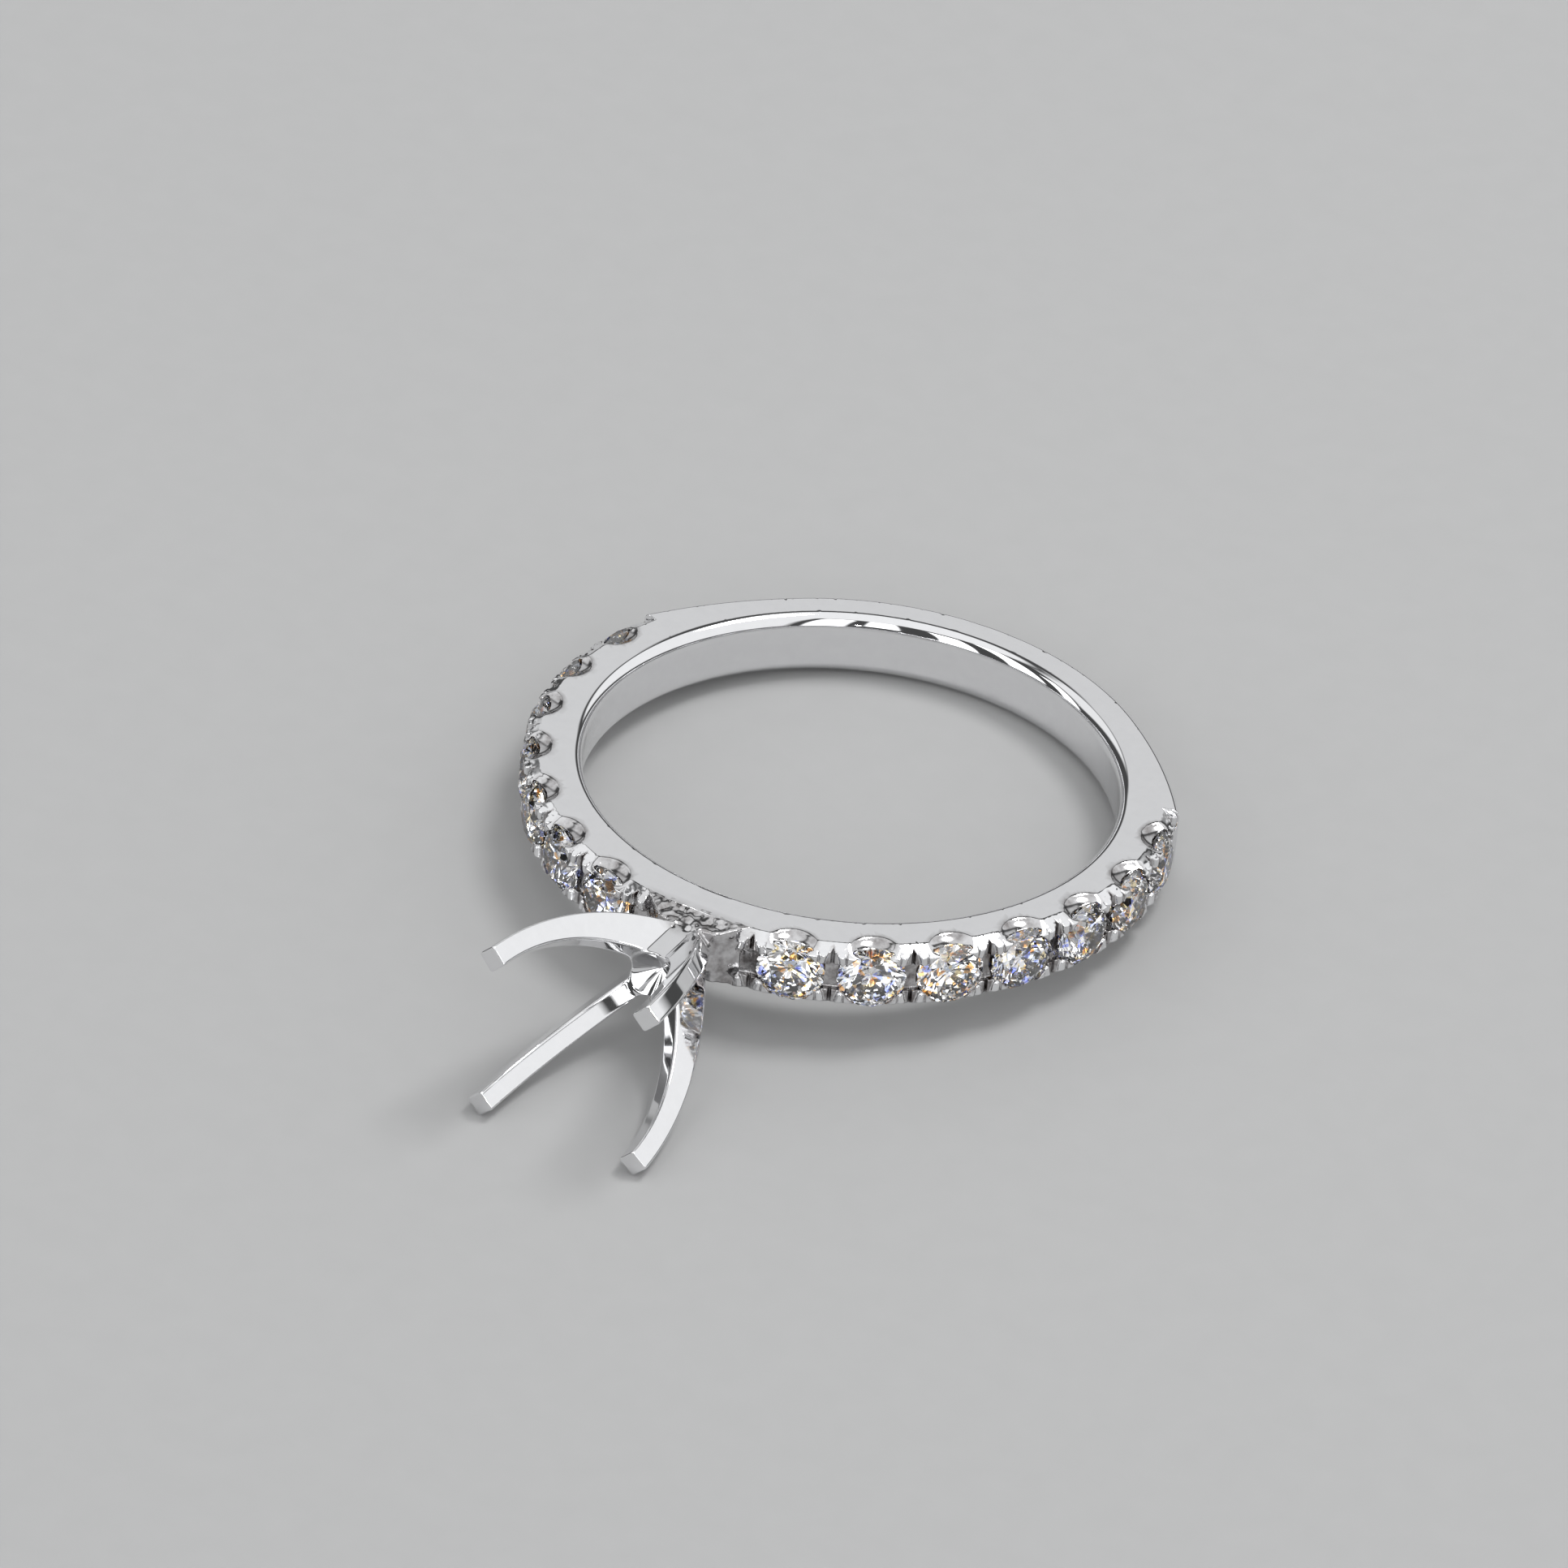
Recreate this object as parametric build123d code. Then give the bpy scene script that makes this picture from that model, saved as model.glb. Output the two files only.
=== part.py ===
from build123d import *
import math
import os

# A semi mount engagement ring in polished white gold, all sizes in millimetres.
# It is one soldered piece of metal, a band with an open four-prong head,
# and fourteen round brilliant side stones, seven on each side of the head.
# The ring is modelled about its finger axis, with the head towards -Y,
# and is then laid on its side as it comes to rest on a table.

# Band
finger_diameter = 16.5
band_width = 2.1
shank_thickness = 1.3
inner_edge_round = 0.45
outer_edge_round = 0.25
shoulder_curve_radius = 16.4
shoulder_start_angle = 142.0

# Stone-set arc of the band
crest_thickness = 1.82
front_thickness = 2.03
front_curve_radius = 9.83
side_bevel_depth = 0.5
side_bevel_width = 0.25

# Side stones, round brilliants
stones_per_side = 7
stone_diameter = 2.1
stone_gap = 0.3
stone_table_share = 0.57
stone_crown_share = 0.15
stone_girdle_share = 0.03
stone_pavilion_share = 0.43
stone_star_share = 0.5
stone_lower_half_share = 0.22
girdle_below_crest = 0.25
seat_clearance = 0.02
claw_overlap = 0.12

# Cuts round the side stones
scallop_width = 1.35
scallop_depth = 0.87
groove_depth = 0.34
groove_width = 0.26
trench_width = 0.9
trench_length = 1.7
trench_depth = 0.36
bead_radius = 0.19
bead_offset = 0.29
bead_inset = 0.34
end_post_angle = 1.7

# Head
foot_length = 3.24
foot_height = 0.6
foot_top_length = 1.9
foot_top_width = 1.7
foot_seat_thickness = 1.5
foot_to_post = 0.34
stem_diameter = 1.6
prong_width = 0.65
prong_thickness = 0.68
prong_spread = 4.03
head_height = 9.35
prong_waist_height = 5.35
prong_waist_spread = 3.0
prong_root_height = 1.95
prong_root_spread = 0.68
bowl_bottom_height = 3.28
bowl_waist_height = 5.25
bowl_waist_spread = 1.93
prong_tip_lean = 0.08
prong_edge_round = 0.05

finger_radius = finger_diameter / 2
half_width = band_width / 2
crest_radius = finger_radius + crest_thickness
front_shift = finger_radius + front_thickness - front_curve_radius
shank_radius = finger_radius + shank_thickness
stone_radius = stone_diameter / 2
crown_height = stone_diameter * stone_crown_share
girdle_height = stone_diameter * stone_girdle_share
pavilion_depth = stone_diameter * stone_pavilion_share
table_radius = stone_radius * stone_table_share
crown_slope = crown_height / (stone_radius - table_radius)
bowl_waist = (bowl_waist_spread, bowl_waist_height)
bowl_rim = (prong_spread - prong_thickness, head_height + prong_tip_lean)
reach = crest_radius + head_height


def angle_over(distance):
    """Angle at the finger axis that a distance spans on the line of girdles."""
    return math.degrees(2 * math.asin(distance / 2 / (crest_radius - girdle_below_crest)))


stone_pitch_angle = angle_over(stone_diameter + stone_gap)
first_post_angle = angle_over(foot_length + 2 * foot_to_post) / 2
last_post_angle = first_post_angle + stones_per_side * stone_pitch_angle
shank_start_angle = last_post_angle + end_post_angle


def crest_at(angle):
    """Radius of the stone-set crest at an angle from the head."""
    turn = math.radians(angle)
    sideways = front_shift * math.sin(turn)
    front = front_shift * math.cos(turn) + math.sqrt(front_curve_radius**2 - sideways**2)
    return max(crest_radius, front)


def around(angle, radius):
    """Plane at a place on the band, facing outward, with its X along the finger axis."""
    turn = math.radians(angle)
    outward = Vector(math.sin(turn), -math.cos(turn), 0)
    return Plane(outward * radius, x_dir=(0, 0, 1), z_dir=outward)


def stone_angles():
    """Angles of the stones of one side, each halfway between two posts."""
    return [first_post_angle + (k + 0.5) * stone_pitch_angle for k in range(stones_per_side)]


def post_angles():
    """Angles of the posts, right side and left side."""
    angles = [first_post_angle + k * stone_pitch_angle for k in range(stones_per_side + 1)]
    return angles + [-angle for angle in angles]


def stone_places():
    """Place of each stone's girdle centre, right side and left side."""
    places = {}
    for number, angle in enumerate(stone_angles(), start=1):
        radius = crest_at(angle) - girdle_below_crest
        places[f"stone_right_{number}"] = around(angle, radius)
        places[f"stone_left_{number}"] = around(-angle, radius)
    return places


def ring_of(radius, height, count, start=0.0):
    """Corners of a level regular polygon."""
    turns = [start + 2 * math.pi * k / count for k in range(count)]
    return [Vector(radius * math.cos(a), radius * math.sin(a), height) for a in turns]


def brilliant():
    """Round brilliant with its girdle's upper edge in the XY plane and its table up."""
    step = math.pi / 8
    crown_mid_radius = table_radius + stone_star_share * (stone_radius - table_radius)
    crown_mid_height = (stone_radius - crown_mid_radius * math.cos(step)) * crown_slope
    lower_mid_radius = stone_radius * stone_lower_half_share
    lower_mid_depth = pavilion_depth * (1 - lower_mid_radius * math.cos(step) / stone_radius)
    table = ring_of(table_radius, crown_height, 8)
    crown_mid = ring_of(crown_mid_radius, crown_mid_height, 8, step)
    upper = ring_of(stone_radius, 0, 16)
    lower = ring_of(stone_radius, -girdle_height, 16)
    lower_mid = ring_of(lower_mid_radius, -girdle_height - lower_mid_depth, 8, step)
    culet = Vector(0, 0, -girdle_height - pavilion_depth)
    facets = [table]
    for k in range(8):
        after = (k + 1) % 8
        main = upper[2 * k]
        side = upper[2 * k + 1]
        following = upper[(2 * k + 2) % 16]
        facets.append([table[k], table[after], crown_mid[k]])
        facets.append([table[k], crown_mid[k], main, crown_mid[k - 1]])
        facets.append([crown_mid[k], side, main])
        facets.append([crown_mid[k], following, side])
        low_main = lower[2 * k]
        low_side = lower[2 * k + 1]
        low_following = lower[(2 * k + 2) % 16]
        facets.append([culet, lower_mid[k - 1], low_main, lower_mid[k]])
        facets.append([lower_mid[k], low_main, low_side])
        facets.append([lower_mid[k], low_side, low_following])
    for k in range(16):
        after = (k + 1) % 16
        facets.append([upper[k], upper[after], lower[after], lower[k]])
    faces = [Face(Wire.make_polygon(corners)) for corners in facets]
    return Solid(Shell(faces))


def stone_seat():
    """Room for a stone: its round envelope, larger by the clearance, and the open face above it."""
    open_radius = stone_radius - claw_overlap
    top = girdle_below_crest + bead_radius
    with BuildPart() as seat:
        with BuildSketch(Plane.XZ):
            Polygon(
                (0, -girdle_height - pavilion_depth - seat_clearance),
                (stone_radius + seat_clearance, -girdle_height),
                (stone_radius + seat_clearance, 0),
                (open_radius, claw_overlap * crown_slope + seat_clearance),
                (open_radius, top),
                (0, top),
                align=None,
            )
        revolve(axis=Axis.Z)
    return seat.part


def bevelled_disc(radius, centre_y):
    """Solid disc of the band's width with both outer edges bevelled."""
    with BuildPart() as disc:
        with BuildSketch(Plane.XZ):
            Polygon(
                (0, -half_width),
                (radius - side_bevel_depth, -half_width),
                (radius, -half_width + side_bevel_width),
                (radius, half_width - side_bevel_width),
                (radius - side_bevel_depth, half_width),
                (0, half_width),
                align=None,
            )
        revolve(axis=Axis.Z)
    return Pos(0, centre_y, 0) * disc.part


def front_sector():
    """Wedge that holds the stone-set arc, from one shank start to the other."""
    turn = math.radians(shank_start_angle)
    side = (reach * math.sin(turn), -reach * math.cos(turn))
    corners = [(0, 0), side, (2 * reach, -reach), (-2 * reach, -reach), (-side[0], side[1])]
    return extrude(Polygon(*corners, align=None), amount=band_width, both=True)


def stone_set_arc():
    """Arc that carries the side stones, two discs joined, the front one set off towards the head."""
    discs = bevelled_disc(crest_radius, 0) + bevelled_disc(front_curve_radius, -front_shift)
    return discs & front_sector()


def shank_outline():
    """Outline of the plain shank with its two flaring shoulders, closed at the finger axis."""
    start = math.radians(shoulder_start_angle)
    end = math.radians(shank_start_angle)
    back_off = shoulder_curve_radius - shank_radius
    centre = Vector(-back_off * math.sin(start), back_off * math.cos(start))
    outward = Vector(math.sin(end), -math.cos(end))
    along = centre.dot(outward)
    square = along**2 - centre.dot(centre) + shoulder_curve_radius**2
    tip = outward * (along + math.sqrt(square))
    foot = Vector(shank_radius * math.sin(start), -shank_radius * math.cos(start))
    halfway = ((tip - centre) + (foot - centre)).normalized() * shoulder_curve_radius + centre
    mirror = [Vector(-point.X, point.Y) for point in (tip, foot, halfway)]
    with BuildSketch() as outline:
        with BuildLine():
            Line((0, 0), tip)
            ThreePointArc(tip, halfway, foot)
            ThreePointArc(foot, (0, shank_radius), mirror[1])
            ThreePointArc(mirror[1], mirror[2], mirror[0])
            Line(mirror[0], (0, 0))
        make_face()
    return outline.sketch


def shank():
    """Plain shank, still full to the finger axis."""
    body = extrude(shank_outline(), amount=half_width, both=True)
    rim = body.edges().filter_by(GeomType.CIRCLE)
    return fillet(rim, outer_edge_round)


def finger_hole():
    """Cutter for the finger hole, with both rims rounded."""
    corner = finger_radius + inner_edge_round
    straight = half_width - inner_edge_round
    with BuildPart() as hole:
        with BuildSketch(Plane.XZ):
            with BuildLine():
                Line((0, -half_width), (corner, -half_width))
                TangentArc((corner, -half_width), (finger_radius, -straight), tangent=(-1, 0))
                Line((finger_radius, -straight), (finger_radius, straight))
                TangentArc((finger_radius, straight), (corner, half_width), tangent=(0, 1))
                Line((corner, half_width), (0, half_width))
                Line((0, half_width), (0, -half_width))
            make_face()
        revolve(axis=Axis.Z)
    return hole.part


def scallop():
    """U-shaped cut across the band under a stone, with its round bottom inward."""
    radius = scallop_width / 2
    with BuildPart() as cut:
        with BuildSketch(Plane.YZ):
            with Locations((0, radius - scallop_depth)):
                Circle(radius)
            with Locations((0, radius - scallop_depth + crest_thickness / 2)):
                Rectangle(scallop_width, crest_thickness)
        extrude(amount=band_width, both=True)
    return cut.part


def post_groove():
    """V-shaped groove along a post that parts it into two prongs, cut on past the crest."""
    corners = [(0, -groove_depth), (groove_width, groove_depth), (-groove_width, groove_depth)]
    profile = Plane.YZ * Polygon(*corners, align=None)
    return extrude(profile, amount=band_width, both=True)


def post_trench():
    """Room along the middle of the band between two stones."""
    height = trench_depth + bead_radius
    return Pos(0, 0, height / 2 - trench_depth) * Box(trench_width, trench_length, height)


def post_beads():
    """Four prong tips of a post, two on each side of the band."""
    beads = []
    across = half_width - bead_inset
    for side in (-across, across):
        for offset in (-bead_offset, bead_offset):
            beads.append(Pos(side, offset, -bead_radius) * Sphere(bead_radius))
    return beads


def foot_room():
    """Room above the band in which the foot of the head stands."""
    seat = finger_radius + foot_seat_thickness
    return Pos(0, -seat - head_height / 2, 0) * Box(foot_length, head_height, band_width)


def head_plane(height):
    """Plane square to the head's axis at a height above the finger hole's wall."""
    return Plane((0, -finger_radius - height, 0), x_dir=(1, 0, 0), z_dir=(0, -1, 0))


def head_foot():
    """Foot of the head, tapering from the band up to the stem."""
    bottom = head_plane(foot_seat_thickness) * Rectangle(foot_length, band_width)
    top = head_plane(foot_seat_thickness + foot_height) * Rectangle(foot_top_length, foot_top_width)
    return loft([bottom, top])


def head_prong():
    """One curved prong, seen from the side as two arcs, with its height along Y and spread along X."""
    root = (prong_root_spread, prong_root_height)
    waist = (prong_waist_spread, prong_waist_height)
    tip_outer = (prong_spread, head_height)
    with BuildPart() as prong:
        with BuildSketch():
            with BuildLine():
                Line((0, prong_root_height), root)
                ThreePointArc(root, waist, tip_outer)
                Line(tip_outer, bowl_rim)
                ThreePointArc(bowl_rim, bowl_waist, (0, bowl_bottom_height))
                Line((0, bowl_bottom_height), (0, prong_root_height))
            make_face()
        extrude(amount=prong_width / 2, both=True)
        outer_edges = prong.edges().filter_by(lambda edge: edge.center().X > prong_edge_round)
        fillet(outer_edges, prong_edge_round)
    return prong.part


def head_stem():
    """Round stem between the prongs, hollowed by the bowl above it."""
    top = bowl_waist_height - prong_root_height
    stem = extrude(Circle(stem_diameter / 2), amount=top)
    with BuildPart() as bowl:
        with BuildSketch(Plane.XZ):
            with BuildLine():
                ThreePointArc((0, bowl_bottom_height), bowl_waist, bowl_rim)
                Line(bowl_rim, (0, bowl_rim[1]))
                Line((0, bowl_rim[1]), (0, bowl_bottom_height))
            make_face()
        revolve(axis=Axis.Z)
    return Pos(0, 0, prong_root_height) * stem - bowl.part


def head():
    """Open head for a round centre stone, with four prongs on the diagonals."""
    prong = Rot(X=90) * head_prong()
    upright = head_stem()
    for turn in (45, 135, 225, 315):
        upright += Rot(Z=turn) * prong
    return head_plane(0).location * upright + head_foot()


def ring_metal():
    """Band and head as one soldered piece."""
    seats = [place.location * stone_seat() for place in stone_places().values()]
    cuts = []
    beads = []
    for side in (-1, 1):
        for angle in stone_angles():
            cuts.append(around(side * angle, crest_at(angle)).location * scallop())
    for angle in post_angles():
        place = around(angle, crest_at(abs(angle))).location
        cuts.append(place * post_groove())
        cuts.append(place * post_trench())
        beads += [place * bead for bead in post_beads()]
    metal = stone_set_arc() - foot_room()
    metal = metal - cuts
    metal = metal + beads + shank()
    metal = metal - finger_hole() - seats
    return metal + head()


def resting_tilt():
    """Tilt at which two prong tips and the far rim of the shank touch a table together."""
    tip_drop = (prong_spread + prong_width / 2) / math.sqrt(2)
    tip = Vector(-finger_radius - head_height, -tip_drop)
    rim = Vector(shank_radius - outer_edge_round, -half_width + outer_edge_round)
    line = rim - tip
    return math.degrees(math.atan2(line.Y, line.X) - math.asin(outer_edge_round / line.length))


metal = ring_metal()
stone = brilliant()
nodes = {"ring_metal": metal}
for name, place in stone_places().items():
    nodes[name] = place.location * stone

laid = {name: Rot(X=-resting_tilt()) * node for name, node in nodes.items()}
box = Compound(list(laid.values())).bounding_box(optimal=True)
to_table = Pos(-box.center().X, -box.center().Y, -box.min.Z)

os.makedirs("parts", exist_ok=True)
for name, node in laid.items():
    export_step(to_table * node, f"parts/{name}.step")
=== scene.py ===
"""A semi mount engagement ring in polished white gold, lying on its side on a pale table."""

import math

import bmesh
import bpy
from bpy.props import FloatProperty, FloatVectorProperty, IntProperty, PointerProperty
from mathutils import Matrix, Vector


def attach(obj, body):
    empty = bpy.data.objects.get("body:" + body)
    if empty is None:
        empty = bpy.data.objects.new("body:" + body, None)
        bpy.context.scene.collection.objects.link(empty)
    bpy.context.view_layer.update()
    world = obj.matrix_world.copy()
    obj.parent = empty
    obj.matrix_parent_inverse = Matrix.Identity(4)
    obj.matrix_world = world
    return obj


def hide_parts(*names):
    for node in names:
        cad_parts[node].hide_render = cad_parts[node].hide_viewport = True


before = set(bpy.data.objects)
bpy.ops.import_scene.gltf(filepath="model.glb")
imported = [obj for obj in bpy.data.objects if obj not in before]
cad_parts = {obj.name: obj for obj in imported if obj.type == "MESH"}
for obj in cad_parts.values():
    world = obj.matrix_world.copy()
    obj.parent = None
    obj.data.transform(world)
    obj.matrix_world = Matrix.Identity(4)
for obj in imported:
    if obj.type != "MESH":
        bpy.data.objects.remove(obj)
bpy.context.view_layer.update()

bl_info = {
    "name": "Semi Mount Ring",
    "version": (1, 0, 0),
    "blender": (4, 5, 0),
    "location": "3D Viewport > Sidebar > Ring",
    "description": "Builds a polished ring with an empty four-prong head and round side stones",
    "category": "Add Mesh",
}

MM = 0.001


# Wires and nodes


class Wire:
    """An output of a node. Arithmetic on it adds Math nodes to its tree."""

    def __init__(self, tree, socket):
        self.tree = tree
        self.socket = socket

    def math(self, operation, *others):
        node = self.tree.nodes.new("ShaderNodeMath")
        node.operation = operation
        for place, value in enumerate((self, *others)):
            feed(self.tree, node.inputs[place], value)
        return Wire(self.tree, node.outputs[0])

    def __add__(self, other):
        return self.math("ADD", other)

    __radd__ = __add__

    def __sub__(self, other):
        return self.math("SUBTRACT", other)

    def __rsub__(self, other):
        return (-self).math("ADD", other)

    def __mul__(self, other):
        return self.math("MULTIPLY", other)

    __rmul__ = __mul__

    def __truediv__(self, other):
        return self.math("DIVIDE", other)

    def __rtruediv__(self, other):
        return self.math("POWER", -1.0).math("MULTIPLY", other)

    def __neg__(self):
        return self.math("MULTIPLY", -1.0)

    def __abs__(self):
        return self.math("ABSOLUTE")


def feed(tree, socket, value):
    """Links a wire to a socket, or sets the socket's value."""
    if isinstance(value, Wire):
        tree.links.new(value.socket, socket)
    else:
        socket.default_value = value


def add_node(tree, kind, settings=None, values=None, output=0):
    """Adds a node with its settings, then its sockets' values or links, and gives one output."""
    node = tree.nodes.new(kind)
    for name, setting in (settings or {}).items():
        if name == "stops":
            set_stops(node.color_ramp, setting)
        elif name == "interpolation":
            node.color_ramp.interpolation = setting
        else:
            setattr(node, name, setting)
    for name, value in (values or {}).items():
        feed(tree, node.inputs[name], value)
    return Wire(tree, node.outputs[output]) if node.outputs else None


def set_stops(ramp, stops):
    """Gives a colour ramp its stops, from pairs of place and colour."""
    while len(ramp.elements) < len(stops):
        ramp.elements.new(1.0)
    for element, (place, colour) in zip(ramp.elements, stops):
        element.position = place
        element.color = (*colour, 1.0)


def vector_math(operation, *vectors, scale=None, output="Vector"):
    """Vector Math node on wires and plain vectors, the first of them a wire or the scale one."""
    tree = next(item for item in (*vectors, scale) if isinstance(item, Wire)).tree
    values = dict(enumerate(vectors))
    if scale is not None:
        values["Scale"] = scale
    return add_node(tree, "ShaderNodeVectorMath", {"operation": operation}, values, output)


def parts_of(vector):
    """The three parts of a vector."""
    node = vector.tree.nodes.new("ShaderNodeSeparateXYZ")
    feed(vector.tree, node.inputs[0], vector)
    return [Wire(vector.tree, socket) for socket in node.outputs]


def length(*parts):
    """Length of a vector given by two or three of its parts."""
    vector = add_node(parts[0].tree, "ShaderNodeCombineXYZ", values=dict(zip("XYZ", parts)))
    return vector_math("LENGTH", vector, output="Value")


def smaller(a, b):
    """The smaller of two wires."""
    return a.math("MINIMUM", b)


def larger(a, b):
    """The larger of two wires."""
    return a.math("MAXIMUM", b)


def join(a, b, blend):
    """Union of two distances, with a fillet where they meet."""
    return a.math("SMOOTH_MIN", b, blend)


def cut(a, b, blend):
    """Overlap of two distances, with the edge between them eased."""
    return a.math("SMOOTH_MAX", b, blend)


def round_corner(a, b, radius):
    """Overlap of two distances at a right angle, with a true round edge."""
    return smaller(larger(a, b), -radius) + length(larger(a + radius, 0.0), larger(b + radius, 0.0))


# Sizes, colours and lights that a user would change


def size(name, default, description):
    """A size in millimetres."""
    description += ", in millimetres"
    return FloatProperty(name=name, description=description, default=default, min=0.0)


class RingBandSizes(bpy.types.PropertyGroup):
    """Sizes of the band"""

    finger_diameter: size("Finger diameter", 16.5, "Width of the finger hole")
    width: size("Width", 2.1, "Width of the band")
    crest_thickness: size("Crest thickness", 1.82, "Thickness of the stone-set arc")
    front_thickness: size("Front thickness", 2.03, "Thickness of the stone-set arc at the head")
    front_radius: size("Front radius", 9.83, "Radius of the stone-set arc near the head")
    shank_thickness: size("Shank thickness", 1.3, "Thickness of the plain shank")
    shoulder_radius: size("Shoulder radius", 16.4, "Radius of the flare between shank and stones")
    inner_round: size("Inner edge", 0.45, "Rounding of the finger hole's rims")
    outer_round: size("Outer edge", 0.25, "Rounding of the plain shank's outer edges")
    bevel_depth: size("Bevel depth", 0.5, "Depth of the bevel on the stone-set arc's sides")
    bevel_width: size("Bevel width", 0.25, "Width of the bevel on the stone-set arc's sides")


class RingSettingSizes(bpy.types.PropertyGroup):
    """Sizes of the side stones and the cuts around them"""

    count: IntProperty(
        name="Stones", description="Number of stones on each side of the head", default=7, min=1
    )
    diameter: size("Stone diameter", 2.1, "Width of a side stone")
    gap: size("Gap", 0.3, "Gap between two side stones")
    girdle_drop: size("Girdle drop", 0.25, "Depth of a stone's girdle under the crest")
    clearance: size("Clearance", 0.02, "Room between a stone and its seat")
    claw_overlap: size("Claw overlap", 0.12, "Reach of the prong tips over a stone's edge")
    scallop_width: size("Scallop width", 1.7, "Width of the cut beside a stone")
    scallop_depth: size("Scallop depth", 0.93, "Depth of the cut beside a stone")
    groove_width: size("Groove width", 0.26, "Width of the groove that parts a post")
    groove_depth: size("Groove depth", 0.34, "Depth of the groove that parts a post")
    trench_width: size("Trench width", 0.9, "Width of the channel between two stones")
    trench_depth: size("Trench depth", 0.36, "Depth of the channel between two stones")
    trench_length: size("Trench length", 1.7, "Length of the channel along the band at a post")
    scallop_flare: FloatProperty(
        name="Scallop flare",
        description="How fast a scallop widens towards the crest",
        default=0.45,
        min=0.0,
    )
    scoop_reach: size("Scoop reach", 0.24, "Depth of a scallop's hollow from the side of the band")
    claw_radius: size("Claw radius", 0.16, "Radius of a claw at the side of the band")
    claw_offset: size("Claw offset", 0.24, "Distance of a claw from the middle of its post")
    claw_length: size("Claw length", 0.52, "Length of a claw across the band")
    claw_spread: size("Claw spread", 0.09, "How far a claw leans over its stone")
    claw_thinning: size("Claw thinning", 0.04, "How much thinner a claw is at its tip")
    saddle_width: size("Saddle width", 0.88, "Width of the dip in a post from which its claws rise")
    saddle_depth: size("Saddle depth", 0.17, "Depth of the dip in a post from which its claws rise")
    soft_edge: size("Soft edge", 0.06, "Easing of the edges between polished faces")
    crisp_edge: size("Crisp edge", 0.03, "Easing of the edges round the stones")


class RingHeadSizes(bpy.types.PropertyGroup):
    """Sizes of the four-prong head"""

    height: size("Height", 9.35, "Height of the prong ends above the finger hole")
    spread: size("Spread", 4.03, "Distance of the prong ends from the head's axis")
    prong_width: size("Prong width", 0.65, "Width of a prong")
    prong_thickness: size("Prong thickness", 0.68, "Thickness of a prong at its end")
    stem_diameter: size("Stem diameter", 1.6, "Width of the stem between the prongs")
    foot_length: size("Foot length", 3.24, "Length of the foot along the band")
    foot_seat: size("Foot seat", 1.5, "Height of the foot's underside above the finger hole")
    foot_height: size("Foot height", 0.6, "Height of the foot")
    foot_top_length: size("Foot top length", 1.9, "Length of the foot's top")
    foot_top_width: size("Foot top width", 1.7, "Width of the foot's top")
    foot_to_post: size("Foot to post", 0.34, "Gap between the foot and the first post")
    face_edge: size("Face edge", 0.08, "Easing between the outer and inner faces of a prong")
    prong_edge: size("Prong edge", 0.14, "Easing of the long edges of a prong")
    tip_edge: size("Tip edge", 0.1, "Easing of the end of a prong")
    root_fillet: size("Root fillet", 0.35, "Fillet between the prongs, the stem and the foot")


class RingFinish(bpy.types.PropertyGroup):
    """Colours, with the painted shade of the grooves, grain, turn of the stones and fineness of the
    mesh
    """

    gold: FloatVectorProperty(
        name="White gold",
        description="Colour of the polished metal",
        subtype="COLOR",
        default=(0.86, 0.86, 0.87),
        min=0.0,
        max=1.0,
    )
    # Painted shade: the dark colour laid on the grooves, seats, scallops and the head's foot in
    # place of the shade that falls there
    recess: FloatVectorProperty(
        name="Painted Shade",
        description="Colour of the metal in its grooves, where polish does not reach",
        subtype="COLOR",
        default=(0.13, 0.11, 0.105),
        min=0.0,
        max=1.0,
    )
    grain_scale: FloatProperty(
        name="Grain scale",
        description="Number of grains of the casting in a millimetre",
        default=2.6,
        min=0.0,
    )
    grain_depth: FloatProperty(
        name="Grain depth",
        description="Depth of the casting's grain, in millimetres",
        default=0.1,
        min=0.0,
    )
    index: FloatProperty(
        name="Index", description="How strongly the stones bend light", default=2.42, min=1.0
    )
    seed: IntProperty(name="Seed", description="Seed of the stones' turn in their seats", default=4)
    cell: FloatProperty(
        name="Cell",
        description="Fineness of the band's mesh, in millimetres",
        default=0.039,
        precision=3,
        min=0.01,
    )


class RingStage(bpy.types.PropertyGroup):
    """Floor and light"""

    floor: FloatVectorProperty(
        name="Floor",
        description="Colour of the floor",
        subtype="COLOR",
        default=(0.38, 0.38, 0.38),
        min=0.0,
        max=1.0,
    )
    key: FloatProperty(
        name="Key light",
        description="Power of the main light, in watts",
        default=2.2,
        subtype="POWER",
        min=0.0,
    )


# Proportions that stay the same at every size

TABLE_SHARE = 0.57
CROWN_SHARE = 0.15
GIRDLE_SHARE = 0.03
PAVILION_SHARE = 0.43
STAR_SHARE = 0.5
LOWER_HALF_SHARE = 0.22
FACETS = 8
DIAGONAL = math.sqrt(0.5)
END_POST_ANGLE = math.radians(1.7)
SHOULDER_ANGLE = math.radians(142.0)

# Points of the prongs and the bowl: distance from the head's axis and height above the finger hole,
# and how far a prong's end leans, in millimetres

PRONG_ROOT = (0.68, 1.95)
PRONG_WAIST = (3.0, 5.35)
BOWL_BOTTOM = (0.0, 3.28)
BOWL_WAIST = (1.93, 5.25)
PRONG_TIP_LEAN = 0.08

# Overlaps of joined shapes and reaches of the grain and of the painted shade in the recesses, in
# millimetres

SIDE_OVERLAP = 0.05
SCOOP_OVERLAP = 0.1
FLARE_START = 0.4
FOOT_SINK = 0.15
FOOT_FLUSH = 0.005
GRAIN_FADE = 0.65
SKIN_REACH = GRAIN_FADE / 2
PAINTED_SHADE_REACH = 0.05
TRENCH_SHADE_REACH = PAINTED_SHADE_REACH * 2

# How dark the painted shade is in the scallops and round the head's foot

SCOOP_SHADE = 0.55
BAND_SHADE = 0.4
HEAD_SHADE = 0.75

# The ring rests on two prong ends and the far rim of its shank

RESTING_TILT = math.radians(4.31296)
RING_CENTRE = Vector((0.0, 4.1178, 1.7471))


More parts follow.
